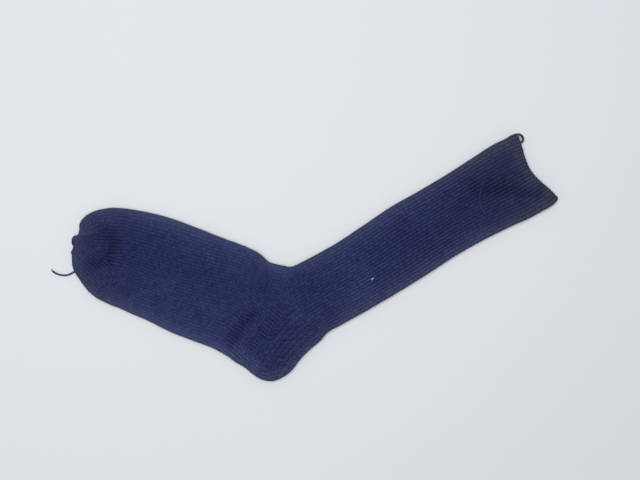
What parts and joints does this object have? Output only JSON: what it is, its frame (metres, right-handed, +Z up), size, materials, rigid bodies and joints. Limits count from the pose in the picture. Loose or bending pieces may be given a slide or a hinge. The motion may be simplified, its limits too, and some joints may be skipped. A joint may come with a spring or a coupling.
{
  "type": "hand-knitted sock",
  "caption": "Long hand-knitted wool sock laid flat on its side: ribbed leg and cuff, turned heel with a gusset, plain foot, gathered toe and loose yarn ends.",
  "frame": {"origin": "on the surface that the sock lies on, at the middle of the sock's box in plan", "axes": "+X from the toe to the cuff along the sock's greatest length, +Y from the heel to the instep, +Z up from the surface"},
  "size_m": [0.5191, 0.2533, 0.0091],
  "materials": {
    "navy_wool": "matt hand-knitted wool, ribbed on the leg and plain on the foot, with a light fuzz",
    "wool_yarn": "matt plied wool yarn"
  },
  "bodies": {
    "root": {"sock": "navy_wool", "toe_tail": "wool_yarn", "toe_curl": "wool_yarn", "cuff_loop": "wool_yarn"}
  },
  "joints": []
}
